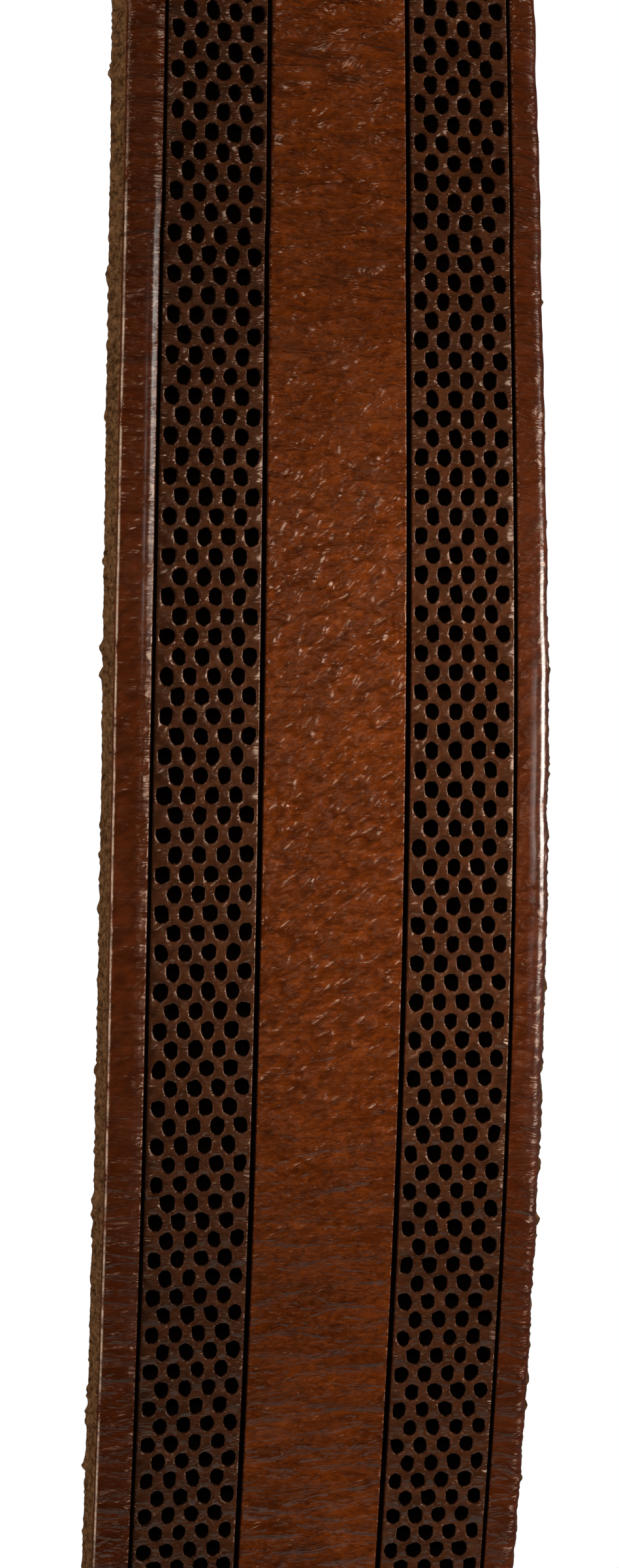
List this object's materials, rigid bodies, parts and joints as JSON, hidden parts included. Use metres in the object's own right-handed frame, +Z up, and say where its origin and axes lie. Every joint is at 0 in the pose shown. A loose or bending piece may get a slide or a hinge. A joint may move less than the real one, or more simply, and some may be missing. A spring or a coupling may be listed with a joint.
{
  "type": "guitar strap",
  "caption": "Embossed leather shoulder band with a button hole ear, and an adjustable tail held by a loop ring, screws and a keeper.",
  "frame": {"origin": "centre of the rear button hole, half way through the ear's leather", "axes": "+Z up along the hanging strap towards its rear end, -Y out of the grain face, +X across the strap"},
  "size_m": [0.051, 0.0255, 0.995],
  "materials": {
    "band_leather": "embossed, polished",
    "tab_leather": "satin",
    "aged_brass": "worn",
    "staple_steel": "dull",
    "waxed_thread": "waxed"
  },
  "bodies": {
    "rear_end": {"rear_ear": "tab_leather", "rear_ear_stitching": "waxed_thread", "rear_rivet_posts": "aged_brass", "rear_rivet_caps": "aged_brass", "band_rear": "band_leather"},
    "shoulder": {"band_middle": "band_leather"},
    "front_end": {"band_front": "band_leather", "front_chape": "tab_leather", "chape_stitching": "waxed_thread", "chape_rivet_posts": "aged_brass", "chape_rivet_caps": "aged_brass"},
    "ring": {"loop_ring": "aged_brass"},
    "tail": {"tail_strap": "tab_leather", "tail_ear_patch": "tab_leather", "tail_ear_stitching": "waxed_thread", "tail_screw_posts": "aged_brass", "tail_screw_heads": "aged_brass"},
    "keeper": {"tail_keeper": "tab_leather", "keeper_staple": "staple_steel"}
  },
  "joints": [
    {"name": "rear_bend", "type": "hinge", "parent": "rear_end", "child": "shoulder", "pos_m": [0, -0.0034, -0.18], "axis": [1, 0, 0], "range_deg": [-20, 45], "stiffness_Nm_per_rad": 0.06},
    {"name": "front_bend", "type": "hinge", "parent": "shoulder", "child": "front_end", "pos_m": [0, -0.00342, -0.62823], "axis": [1, 0, 0], "range_deg": [-20, 45], "stiffness_Nm_per_rad": 0.06},
    {"name": "ring_swing", "type": "hinge", "parent": "front_end", "child": "ring", "pos_m": [0, -0.00342, -0.782], "axis": [1, 0, 0], "range_deg": [-70, 70]},
    {"name": "tail_swing", "type": "hinge", "parent": "ring", "child": "tail", "pos_m": [0, -0.00342, -0.796], "axis": [1, 0, 0], "range_deg": [-80, 80]},
    {"name": "keeper_slide", "type": "slide", "parent": "tail", "child": "keeper", "axis": [0, 0, 1], "range_m": [-0.012, 0.012]}
  ]
}
